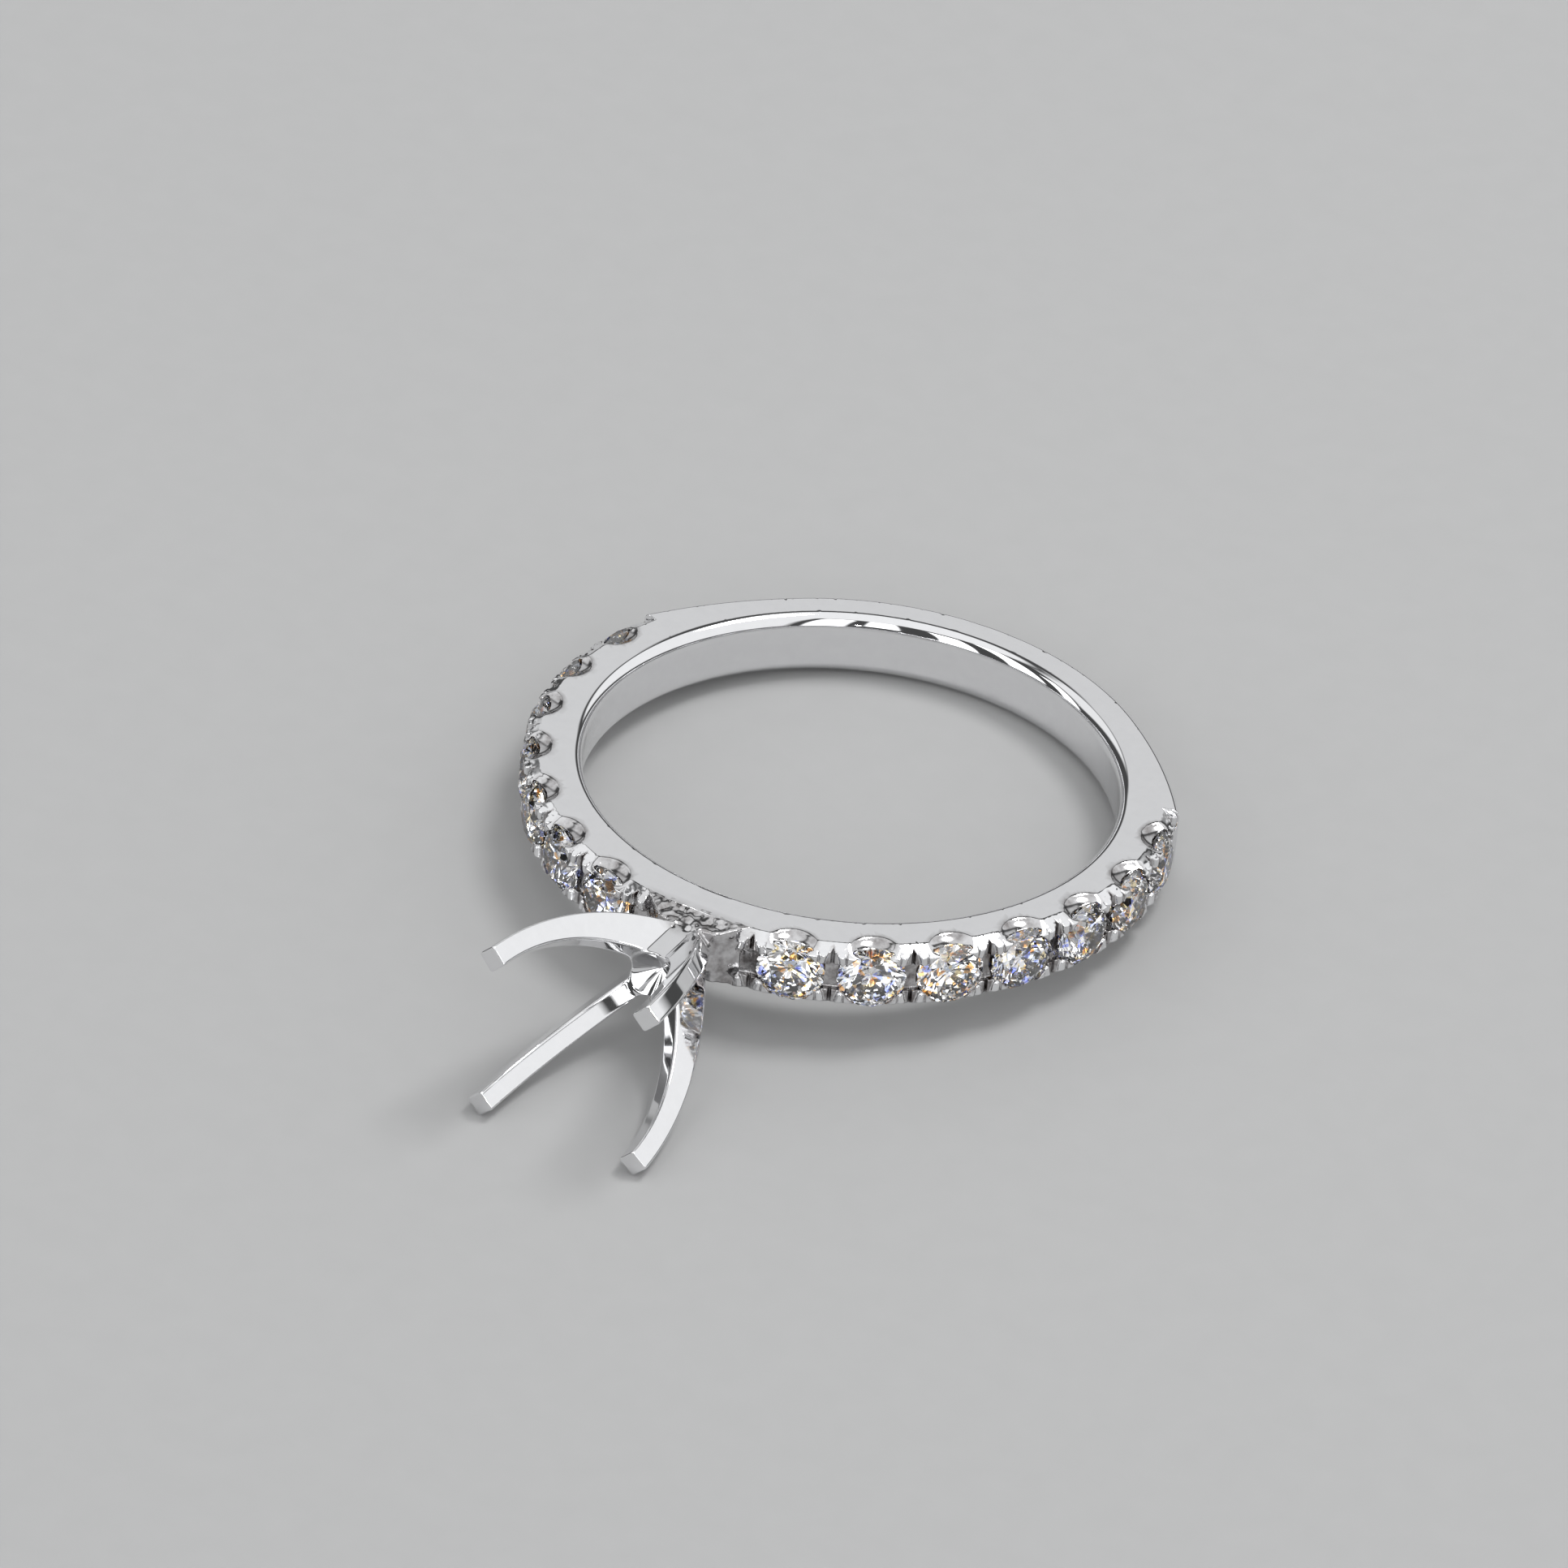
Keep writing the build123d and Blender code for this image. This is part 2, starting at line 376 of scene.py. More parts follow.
def lie_down():
    """Turns the ring, made in millimetres about the finger axis, into its place in metres."""
    turn = Matrix.Rotation(-RESTING_TILT, 4, "X")
    return Matrix.Scale(MM, 4) @ Matrix.Translation(RING_CENTRE) @ turn


def circle_through(a, b, c):
    """Centre and radius of the circle through three points."""
    (ax, ay), (bx, by), (cx, cy) = a, b, c
    a2, b2, c2 = ax**2 + ay**2, bx**2 + by**2, cx**2 + cy**2
    d = 2 * (ax * (by - cy) + bx * (cy - ay) + cx * (ay - by))
    x = (a2 * (by - cy) + b2 * (cy - ay) + c2 * (ay - by)) / d
    y = (a2 * (cx - bx) + b2 * (ax - cx) + c2 * (bx - ax)) / d
    return x, y, math.hypot(ax - x, ay - y)


def angle_over(distance, radius):
    """Angle that a straight distance spans on a circle."""
    return 2 * math.asin(distance / 2 / radius)


def band_numbers(scene):
    """Named numbers that the band's node trees take."""
    band, setting, head = scene.ring_band, scene.ring_setting, scene.ring_head
    finger = band.finger_diameter / 2
    crest = finger + band.crest_thickness
    shank = finger + band.shank_thickness
    girdle_line = crest - setting.girdle_drop
    pitch = angle_over(setting.diameter + setting.gap, girdle_line)
    first = angle_over(head.foot_length + 2 * head.foot_to_post, girdle_line) / 2
    back_off = band.shoulder_radius - shank
    stone = setting.diameter / 2
    return {
        "Finger Radius": finger,
        "Half Width": band.width / 2,
        "Crest Radius": crest,
        "Front Radius": band.front_radius,
        "Front Shift": finger + band.front_thickness - band.front_radius,
        "Shank Radius": shank,
        "Shoulder Radius": band.shoulder_radius,
        "Shoulder X": -back_off * math.sin(SHOULDER_ANGLE),
        "Shoulder Y": back_off * math.cos(SHOULDER_ANGLE),
        "Shank Start": first + setting.count * pitch + END_POST_ANGLE,
        "Inner Round": band.inner_round,
        "Outer Round": band.outer_round,
        "Bevel Width": band.bevel_width,
        "Bevel Slope": band.bevel_width / band.bevel_depth,
        "Stone Pitch": pitch,
        "First Post": first,
        "Last Stone": setting.count - 1.0,
        "Stone Radius": stone,
        "Crown Slope": CROWN_SHARE * 2 / (1 - TABLE_SHARE),
        "Pavilion Slope": PAVILION_SHARE * 2,
        "Culet Depth": setting.diameter * (GIRDLE_SHARE + PAVILION_SHARE),
        "Girdle Drop": setting.girdle_drop,
        "Clearance": setting.clearance,
        "Mouth Radius": stone - setting.claw_overlap,
        "Scallop Radius": setting.scallop_width / 2,
        "Scallop Depth": setting.scallop_depth,
        "Groove Depth": setting.groove_depth,
        "Groove Slope": setting.groove_width / 2 / setting.groove_depth,
        "Trench Half Width": setting.trench_width / 2,
        "Trench Depth": setting.trench_depth,
        "Trench Half Length": setting.trench_length / 2,
        "Scallop Flare": setting.scallop_flare,
        "Scoop Reach": setting.scoop_reach,
        "Claw Radius": setting.claw_radius,
        "Claw Offset": setting.claw_offset,
        "Claw Length": setting.claw_length,
        "Claw Spread": setting.claw_spread,
        "Claw Thinning": setting.claw_thinning,
        "Saddle Half Width": setting.saddle_width / 2,
        "Saddle Depth": setting.saddle_depth,
        "Soft Edge": setting.soft_edge,
        "Crisp Edge": setting.crisp_edge,
        "Foot Half Length": head.foot_length / 2,
        "Foot Seat": head.foot_seat,
        "Grain Scale": scene.ring_finish.grain_scale,
        "Grain Depth": scene.ring_finish.grain_depth,
    }


def head_numbers(scene):
    """Named numbers that the head's node tree takes."""
    band, head = scene.ring_band, scene.ring_head
    tip = (head.spread, head.height)
    rim = (head.spread - head.prong_thickness, head.height + PRONG_TIP_LEAN)
    outer = circle_through(PRONG_ROOT, PRONG_WAIST, tip)
    inner = circle_through(BOWL_BOTTOM, BOWL_WAIST, rim)
    return {
        "Finger Radius": band.finger_diameter / 2,
        "Outer Spread": outer[0],
        "Outer Height": outer[1],
        "Outer Radius": outer[2],
        "Inner Spread": inner[0],
        "Inner Height": inner[1],
        "Inner Radius": inner[2],
        "Prong Half Width": head.prong_width / 2,
        "Spread": head.spread,
        "Height": head.height,
        "Tip Lean": PRONG_TIP_LEAN / head.prong_thickness,
        "Root Height": PRONG_ROOT[1],
        "Stem Radius": head.stem_diameter / 2,
        "Foot Half Length": head.foot_length / 2,
        "Foot Half Width": band.width / 2,
        "Foot Seat": head.foot_seat,
        "Foot Height": head.foot_height,
        "Foot Taper": (head.foot_length - head.foot_top_length) / 2 / head.foot_height,
        "Flank Taper": (band.width - head.foot_top_width) / 2 / head.foot_height,
        "Face Edge": head.face_edge,
        "Prong Edge": head.prong_edge,
        "Tip Edge": head.tip_edge,
        "Root Fillet": head.root_fillet,
        "Grain Scale": scene.ring_finish.grain_scale,
        "Grain Depth": scene.ring_finish.grain_depth,
    }


# Shapes as distances: each is negative inside the metal, in millimetres


def crest_at(angle, s):
    """Radius of the stone-set crest at an angle from the head."""
    sideways = s["Front Shift"] * angle.math("SINE")
    across = (s["Front Radius"] * s["Front Radius"] - sideways * sideways).math("SQRT")
    return larger(s["Front Shift"] * angle.math("COSINE") + across, s["Crest Radius"])


def slanted(distance, slope):
    """Corrects the distance to a plane that rises by a slope."""
    return distance / (slope * slope + 1.0).math("SQRT")


def seat_room(along, z, height, s):
    """Room for a stone: its round envelope and the open face above it."""
    out = length(along, z)
    girdle = height + s["Girdle Drop"]
    cone = out * s["Pavilion Slope"] - girdle - s["Culet Depth"] - s["Clearance"]
    crown = girdle - (s["Stone Radius"] - out) * s["Crown Slope"] - s["Clearance"]
    wall = out - s["Stone Radius"] - s["Clearance"]
    slopes = larger(slanted(cone, s["Pavilion Slope"]), slanted(crown, s["Crown Slope"]))
    return smaller(larger(slopes, wall), larger(out - s["Mouth Radius"], -girdle))


def near(distance, reach):
    """One on the surface of a distance, falling to nothing over a reach outside it."""
    return larger(smaller(1.0 - distance / reach, 1.0), 0.0)


def claw(from_post, level, rise, s):
    """Rounded ridge that runs from the side of the band to a tip over the girdle of a stone."""
    aside = from_post - s["Claw Offset"]
    inward = s["Half Width"] + SIDE_OVERLAP - level
    along = (aside * s["Claw Spread"] + inward * s["Claw Length"]) / claw_run(s)
    share = larger(smaller(along, 1.0), 0.0)
    gap = length(
        aside - share * s["Claw Spread"],
        inward - share * s["Claw Length"],
        rise + s["Claw Radius"],
    )
    return gap - s["Claw Radius"] + share * s["Claw Thinning"]


def claw_run(s):
    """Squared length of a claw."""
    return s["Claw Spread"] * s["Claw Spread"] + s["Claw Length"] * s["Claw Length"]


def stone_set_arc(radius, angle, crest, level, z, inner, s):
    """Distance to the stone-set arc, and a mask of the painted shade in its recesses."""
    side = level - s["Half Width"]
    bevel = slanted(crest * s["Bevel Slope"] + side + s["Bevel Width"], s["Bevel Slope"])
    arc = cut(cut(crest, bevel, s["Soft Edge"]), inner, s["Crisp Edge"])
    turns = (angle - s["First Post"]) / s["Stone Pitch"]

    # Scallop scooped out beside the nearest stone
    stone = larger(smaller(turns.math("FLOOR"), s["Last Stone"]), 0.0)
    stone_angle = s["First Post"] + (stone + 0.5) * s["Stone Pitch"]
    off = angle - stone_angle
    along = radius * off.math("SINE")
    height = radius * off.math("COSINE") - crest_at(stone_angle, s)
    under = smaller(height + s["Scallop Depth"] - s["Scallop Radius"], 0.0)
    flare = larger(height + FLARE_START, 0.0) * s["Scallop Flare"]
    across = length(larger(abs(along) - flare, 0.0), under) / s["Scallop Radius"]
    reach = s["Scoop Reach"] + SCOOP_OVERLAP
    scoop = (length(across, (s["Half Width"] + SCOOP_OVERLAP - level) / reach) - 1.0) * reach
    arc = cut(arc, -scoop, s["Soft Edge"])

    # Groove, trench and claws of the nearest post
    post = larger(smaller(turns.math("ROUND"), s["Last Stone"] + 1.0), 0.0)
    post_angle = s["First Post"] + post * s["Stone Pitch"]
    aside = angle - post_angle
    from_post = abs(radius * aside.math("SINE"))
    rise = radius * aside.math("COSINE") - crest_at(post_angle, s)
    groove = slanted(from_post - (rise + s["Groove Depth"]) * s["Groove Slope"], s["Groove Slope"])
    arc = cut(arc, -groove, s["Crisp Edge"])
    trench = cut(level - s["Trench Half Width"], -(rise + s["Trench Depth"]), s["Soft Edge"] * 2.0)
    trench = cut(trench, from_post - s["Trench Half Length"], s["Soft Edge"] * 2.0)
    arc = cut(arc, -trench, s["Soft Edge"])
    saddle = larger(from_post - s["Saddle Half Width"], -(rise + s["Saddle Depth"]))
    arc = cut(arc, -saddle, s["Soft Edge"])
    ridge = cut(claw(from_post, level, rise, s), bevel, s["Soft Edge"])
    arc = join(arc, ridge, s["Crisp Edge"])
    seat = seat_room(along, z, height, s)
    # Painted shade: darker metal in the posts' grooves, saddles and trenches, on the scallops'
    # walls and round the seats, but not on the claws
    between = larger(near(groove, PAINTED_SHADE_REACH), near(saddle, PAINTED_SHADE_REACH))
    between = larger(between, near(trench, TRENCH_SHADE_REACH)) * (1.0 - near(ridge, PAINTED_SHADE_REACH))
    hollow = near(scoop, PAINTED_SHADE_REACH) * larger(-height, SCOOP_SHADE)
    recess = larger(larger(between, hollow), near(seat, PAINTED_SHADE_REACH))
    return cut(arc, -seat, s["Crisp Edge"]), recess


def plain_shank(x, y, radius, angle, side, inner, start, s):
    """Distance to the plain shank with its two shoulders."""
    flare = length(x - s["Shoulder X"], y - s["Shoulder Y"]) - s["Shoulder Radius"]
    plain = radius - s["Shank Radius"]
    past = angle.math("GREATER_THAN", SHOULDER_ANGLE)
    outer = flare + (plain - flare) * past
    shank = larger(round_corner(side, outer, s["Outer Round"]), inner)
    return cut(shank, -start, s["Soft Edge"])


def band_distance(place, s):
    """Distance to the whole band, and the mask of its painted shade."""
    x, y, z = parts_of(place)
    across, level = abs(x), abs(z)
    radius = length(x, y)
    angle = across.math("ARCTAN2", -y)
    crest = smaller(radius - s["Crest Radius"], length(x, y + s["Front Shift"]) - s["Front Radius"])
    side = level - s["Half Width"]
    inner = round_corner(side, s["Finger Radius"] - radius, s["Inner Round"])
    start = radius * (angle - s["Shank Start"]).math("SINE")
    arc, recess = stone_set_arc(radius, angle, crest, level, z, inner, s)
    arc = larger(arc, start - SIDE_OVERLAP)
    foot_room = larger(across - s["Foot Half Length"], y + s["Finger Radius"] + s["Foot Seat"])
    outer_skin = near(s["Finger Radius"] + s["Foot Seat"] + y, SKIN_REACH)
    rough = near(across - s["Foot Half Length"], GRAIN_FADE) * outer_skin
    arc = larger(arc, -foot_room) + cast_grain(place, s) * rough
    shank = plain_shank(across, y, radius, angle, side, inner, start, s)
    # Painted shade also darkens the grain round the head's foot
    recess = larger(recess * arc.math("LESS_THAN", shank), rough * BAND_SHADE)
    return smaller(arc, shank), recess


def cast_grain(place, s):
    """Uneven skin of the casting where the head is soldered on, as a small distance."""
    noise = add_node(
        place.tree,
        "ShaderNodeTexNoise",
        values={"Vector": place, "Scale": s["Grain Scale"], "Detail": 1.0},
    )
    return (noise - 0.5) * s["Grain Depth"]


def head_distance(place, s):
    """Distance to the head, with its foot, its stem and four prongs on the diagonals, and the mask
    of its painted shade.
    """
    x, y, z = parts_of(place)
    across, level = abs(x), abs(z)
    height = -y - s["Finger Radius"]

    # One prong stands for all four
    spread = (across + level) * DIAGONAL
    aside = abs(across - level) * DIAGONAL - s["Prong Half Width"]
    outer = length(spread - s["Outer Spread"], height - s["Outer Height"]) - s["Outer Radius"]
    inner = s["Inner Radius"] - length(spread - s["Inner Spread"], height - s["Inner Height"])
    tip = height - s["Height"] + (spread - s["Spread"]) * s["Tip Lean"]
    prong = cut(cut(cut(outer, inner, s["Face Edge"]), aside, s["Prong Edge"]), tip, s["Tip Edge"])

    # Round stem with the bowl above it
    out = length(x, z)
    bowl = s["Inner Radius"] - length(out - s["Inner Spread"], height - s["Inner Height"])
    stem = cut(out - s["Stem Radius"], bowl, s["Prong Edge"])
    upper = larger(join(prong, stem, s["Root Fillet"]), s["Root Height"] - height)

    # Foot on the band
    rise = height - s["Foot Seat"]
    end = slanted(across - s["Foot Half Length"] + rise * s["Foot Taper"], s["Foot Taper"])
    flank = level - s["Foot Half Width"] + larger(rise, 0.0) * s["Flank Taper"] + FOOT_FLUSH
    foot = cut(end, slanted(flank, s["Flank Taper"]), s["Face Edge"])
    foot = cut(foot, rise - s["Foot Height"], s["Tip Edge"])
    whole = join(upper, larger(foot, -rise - FOOT_SINK), s["Root Fillet"])
    # Painted shade darkens the foot and the root of the stem, where the grain is
    rough = near(rise - s["Foot Height"], GRAIN_FADE)
    return whole + cast_grain(place, s) * rough, rough * HEAD_SHADE


# Metal meshed from its distance, then pulled onto it. Flatness is how much nearly flat stretches
# are simplified. Lengths are in millimetres, HEAD_CELL in the band's cells, PULL_REACH in its own.

BAND_FLATNESS = 0.03
HEAD_FLATNESS = 0.0
HEAD_CELL = 1.05
PULLS = 2
PULL_REACH = 2
SLOPE_STEP = 0.004
SHORTEST_EDGE = 0.0013
BAND_LOW = (-10.9, -10.8)
BAND_HIGH = (10.9, 10.0)
BAND_MARGIN = 0.15
HEAD_MARGIN = 0.3


def distance_group(name, sizes, shape):
    """Node group that gives the distance from a place to the metal, and the mask of its painted
    shade.
    """
    tree = bpy.data.node_groups.new(name, "GeometryNodeTree")
    tree.interface.new_socket("Place", in_out="INPUT", socket_type="NodeSocketVector")
    for item in sizes:
        tree.interface.new_socket(item, in_out="INPUT", socket_type="NodeSocketFloat")
    for item in ("Distance", "Painted Shade"):
        tree.interface.new_socket(item, in_out="OUTPUT", socket_type="NodeSocketFloat")
    given = inputs_of(tree)
    distance, recess = shape(given["Place"], given)
    add_node(tree, "NodeGroupOutput", values={"Distance": distance, "Painted Shade": recess})
    return tree


def inputs_of(tree):
    """The named inputs of a tree, as wires."""
    inlet = tree.nodes.new("NodeGroupInput")
    return {socket.name: Wire(tree, socket) for socket in inlet.outputs if socket.name}


def distance_at(group, place, given, output="Distance"):
    """The distance that a group gives at a place."""
    values = {name: wire for name, wire in given.items() if name in group.interface.items_tree}
    values["Place"] = place
    return add_node(place.tree, "GeometryNodeGroup", {"node_tree": group}, values, output)


def slope_at(group, place, given):
    """Unit slope of a distance at a place, from four samples around it."""
    total = None
    for corner in ((1, -1, -1), (-1, -1, 1), (-1, 1, -1), (1, 1, 1)):
        sample = vector_math("ADD", place, Vector(corner) * SLOPE_STEP)
        part = vector_math("SCALE", Vector(corner), scale=distance_at(group, sample, given))
        total = part if total is None else vector_math("ADD", total, part)
    return vector_math("NORMALIZE", total)


def metal_tree(name, sizes, shape):
    """Node tree that meshes a distance in a box, settles the mesh on it and keeps its slope and the
    mask of its painted shade.
    """
    group = distance_group(name + " Distance", sizes, shape)
    tree = bpy.data.node_groups.new(name, "GeometryNodeTree")
    for item in sizes:
        tree.interface.new_socket(item, in_out="INPUT", socket_type="NodeSocketFloat")
    for item, kind in (
        ("Low Corner", "Vector"),
        ("High Corner", "Vector"),
        ("Steps X", "Int"),
        ("Steps Y", "Int"),
        ("Steps Z", "Int"),
        ("Flatness", "Float"),
        ("Reach", "Float"),
        ("Metal", "Material"),
    ):
        tree.interface.new_socket(item, in_out="INPUT", socket_type="NodeSocket" + kind)
    tree.interface.new_socket("Geometry", in_out="OUTPUT", socket_type="NodeSocketGeometry")
    given = inputs_of(tree)
    place = add_node(tree, "GeometryNodeInputPosition")
    volume = add_node(
        tree,
        "GeometryNodeVolumeCube",
        values={
            "Density": -distance_at(group, place, given),
            "Background": -1.0,
            "Min": given["Low Corner"],
            "Max": given["High Corner"],
            "Resolution X": given["Steps X"],
            "Resolution Y": given["Steps Y"],
            "Resolution Z": given["Steps Z"],
        },
    )
    mesh = add_node(
        tree,
        "GeometryNodeVolumeToMesh",
        {"resolution_mode": "GRID"},
        {"Volume": volume, "Threshold": 0.0, "Adaptivity": given["Flatness"]},
    )
    for _ in range(PULLS):
        gap = distance_at(group, place, given)
        gap = gap * abs(gap).math("LESS_THAN", given["Reach"])
        offset = vector_math("SCALE", slope_at(group, place, given), scale=-gap)
        moved = {"Geometry": mesh, "Offset": offset}
        mesh = add_node(tree, "GeometryNodeSetPosition", values=moved)
    merged = {"Geometry": mesh, "Distance": SHORTEST_EDGE}
    mesh = add_node(tree, "GeometryNodeMergeByDistance", values=merged)
    mesh = add_node(
        tree,
        "GeometryNodeStoreNamedAttribute",
        {"data_type": "FLOAT_VECTOR", "domain": "POINT"},
        {"Geometry": mesh, "Name": "slope", "Value": slope_at(group, place, given)},
    )
    # The mask of the painted shade goes to the material
    recess = distance_at(group, place, given, "Painted Shade")
    mesh = add_node(
        tree,
        "GeometryNodeStoreNamedAttribute",
        {"data_type": "FLOAT", "domain": "POINT"},
        {"Geometry": mesh, "Name": "recess", "Value": recess},
    )
    mesh = add_node(tree, "GeometryNodeRealizeInstances", values={"Geometry": mesh})
    finished = {"Geometry": mesh, "Material": given["Metal"]}
    mesh = add_node(tree, "GeometryNodeSetMaterial", values=finished)
    add_node(tree, "NodeGroupOutput", values={"Geometry": mesh})
    return tree


def made_by(tree, values, name):
    """Plain mesh that a node tree makes from its named inputs."""
    carrier = bpy.data.objects.new(name, bpy.data.meshes.new(name))
    bpy.context.scene.collection.objects.link(carrier)
    modifier = carrier.modifiers.new(name, "NODES")
    modifier.node_group = tree
    for item in tree.interface.items_tree:
        if item.in_out == "INPUT":
            modifier[item.identifier] = values[item.name]
    graph = bpy.context.evaluated_depsgraph_get()
    mesh = bpy.data.meshes.new_from_object(carrier.evaluated_get(graph), depsgraph=graph)
    if not mesh.polygons:
        raise RuntimeError(f"the node tree made no faces for {name}")
    if mesh.materials[0] is None:
        mesh.materials.pop(index=0)
    carrier.modifiers.remove(modifier)
    bpy.data.objects.remove(carrier)
    return mesh


def put_down(mesh, name, slot, *nodes):
    """Makes a piece of a finished mesh, attaches it to the root body and hides the nodes of the
    frame that it stands for.
    """
    mesh.name = name
    piece = bpy.data.objects.new(name, mesh)
    bpy.context.scene.collection.objects.link(piece)
    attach(piece, "root")
    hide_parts(*nodes)
    return piece


def make_metal(scene, name, sizes, shape, low, high, cell, flatness):
    """Makes one piece of the metal inside a box, shaded by its true slope."""
    steps = [round((b - a) / cell) + 1 for a, b in zip(low, high)]
    values = dict(sizes)
    values.update(zip(("Steps X", "Steps Y", "Steps Z"), steps))
    values["Low Corner"] = low
    values["High Corner"] = high
    values["Flatness"] = flatness
    values["Reach"] = cell * PULL_REACH
    values["Metal"] = white_gold(scene.ring_finish)
    mesh = made_by(metal_tree(name, sizes, shape), values, name)
    matrix = lie_down()
    turn = matrix.to_quaternion()
    slopes = [turn @ item.vector for item in mesh.attributes["slope"].data]
    mesh.attributes.remove(mesh.attributes["slope"])
    mesh.transform(matrix)
    mesh.shade_smooth()
    mesh.normals_split_custom_set_from_vertices(slopes)
    return put_down(mesh, name, "white_gold", "ring_metal")


# Side stones


def level_ring(radius, height, count, start=0.0):
    """Corners of a level regular polygon."""
    turns = [start + 2 * math.pi * k / count for k in range(count)]
    return [(radius * math.cos(a), radius * math.sin(a), height) for a in turns]


def brilliant(diameter):
    """Round brilliant, table up, its girdle's upper edge at height zero, in millimetres."""
    radius = diameter / 2
    step = math.pi / FACETS
    girdle = -diameter * GIRDLE_SHARE
    table_radius = radius * TABLE_SHARE
    crown = diameter * CROWN_SHARE
    crown_slope = crown / (radius - table_radius)
    star_radius = table_radius + STAR_SHARE * (radius - table_radius)
    star_height = (radius - star_radius * math.cos(step)) * crown_slope
    lower_radius = radius * LOWER_HALF_SHARE
    pavilion = diameter * PAVILION_SHARE
    lower_height = girdle - pavilion * (1 - LOWER_HALF_SHARE * math.cos(step))
    shape = bmesh.new()

    def corners(*args):
        return [shape.verts.new(point) for point in level_ring(*args)]

    table = corners(table_radius, crown, FACETS)
    star = corners(star_radius, star_height, FACETS, step)
    upper = corners(radius, 0.0, FACETS * 2)
    lower = corners(radius, girdle, FACETS * 2)
    half = corners(lower_radius, lower_height, FACETS, step)
    culet = shape.verts.new((0.0, 0.0, girdle - pavilion))
    shape.faces.new(table)
    for k in range(FACETS):
        after = (k + 1) % FACETS
        main, side, following = 2 * k, 2 * k + 1, (2 * k + 2) % (FACETS * 2)
        shape.faces.new((table[after], table[k], star[k]))
        shape.faces.new((table[k], star[k - 1], upper[main], star[k]))
        shape.faces.new((star[k], upper[main], upper[side]))
        shape.faces.new((star[k], upper[side], upper[following]))
        shape.faces.new((culet, half[k], lower[main], half[k - 1]))
        shape.faces.new((half[k], lower[side], lower[main]))
        shape.faces.new((half[k], lower[following], lower[side]))
    for k in range(FACETS * 2):
        after = (k + 1) % (FACETS * 2)
        shape.faces.new((upper[k], lower[k], lower[after], upper[after]))
    bmesh.ops.recalc_face_normals(shape, faces=shape.faces)
    mesh = bpy.data.meshes.new("brilliant")
    shape.to_mesh(mesh)
    shape.free()
    return mesh


def stones_tree():
    """Node tree that sets one stone at each place on both sides of the head."""
    tree = bpy.data.node_groups.new("Side Stones", "GeometryNodeTree")
    for item in (
        "First Post",
        "Stone Pitch",
        "Last Stone",
        "Girdle Drop",
        "Crest Radius",
        "Front Radius",
        "Front Shift",
    ):
        tree.interface.new_socket(item, in_out="INPUT", socket_type="NodeSocketFloat")
    for item, kind in (
        ("Count", "Int"),
        ("Seed", "Int"),
        ("Stone", "Object"),
        ("Finish", "Material"),
    ):
        tree.interface.new_socket(item, in_out="INPUT", socket_type="NodeSocket" + kind)
    tree.interface.new_socket("Geometry", in_out="OUTPUT", socket_type="NodeSocketGeometry")
    s = inputs_of(tree)
    index = add_node(tree, "GeometryNodeInputIndex")
    left = index.math("GREATER_THAN", s["Last Stone"])
    number = index - left * (s["Last Stone"] + 1.0)
    angle = s["First Post"] + (number + 0.5) * s["Stone Pitch"]
    reach = crest_at(angle, s) - s["Girdle Drop"]
    side = 1.0 - left * 2.0
    sine, cosine = angle.math("SINE") * side, angle.math("COSINE")
    outward = add_node(tree, "ShaderNodeCombineXYZ", values={"X": sine, "Y": -cosine})
    points = add_node(
        tree,
        "GeometryNodePoints",
        values={"Count": s["Count"], "Position": vector_math("SCALE", outward, scale=reach)},
    )
    upright = add_node(
        tree,
        "FunctionNodeAxesToRotation",
        {"primary_axis": "Z", "secondary_axis": "X"},
        {"Primary Axis": outward, "Secondary Axis": Vector((0, 0, 1))},
    )
    # Socket 3 is the largest number and output 1 the number itself
    share_of_turn = add_node(
        tree,
        "FunctionNodeRandomValue",
        values={"Seed": s["Seed"], 3: 2 * math.pi / FACETS},
        output=1,
    )
    spin = add_node(
        tree,
        "FunctionNodeAxisAngleToRotation",
        values={"Axis": Vector((0, 0, 1)), "Angle": share_of_turn},
    )
    turn = add_node(
        tree,
        "FunctionNodeRotateRotation",
        {"rotation_space": "LOCAL"},
        {"Rotation": upright, "Rotate By": spin},
    )
    pattern = {"Object": s["Stone"]}
    stone = add_node(tree, "GeometryNodeObjectInfo", values=pattern, output="Geometry")
    placed = add_node(
        tree,
        "GeometryNodeInstanceOnPoints",
        values={"Points": points, "Instance": stone, "Rotation": turn},
    )
    placed = add_node(tree, "GeometryNodeRealizeInstances", values={"Geometry": placed})
    finished = {"Geometry": placed, "Material": s["Finish"]}
    placed = add_node(tree, "GeometryNodeSetMaterial", values=finished)
    add_node(tree, "NodeGroupOutput", values={"Geometry": placed})
    return tree


# Materials, with the scales of their patterns per metre

WHEEL_MARKS = {"Scale": 2600.0, "Detail": 3.0, "Roughness": 0.6}
MARK_SHADE = 0.97
POLISH_WAVES = {"Scale": 380.0, "Detail": 1.0}
WAVE_HEIGHT = {"Strength": 0.1, "Distance": 0.00001}
PATCH_START = 0.36
PATCH_GAIN = 3.2
EVEN_SHADE = 0.35
POLISH_ROUGHNESS = 0.02
MARK_ROUGHNESS = 0.04
RECESS_ROUGHNESS = 0.12
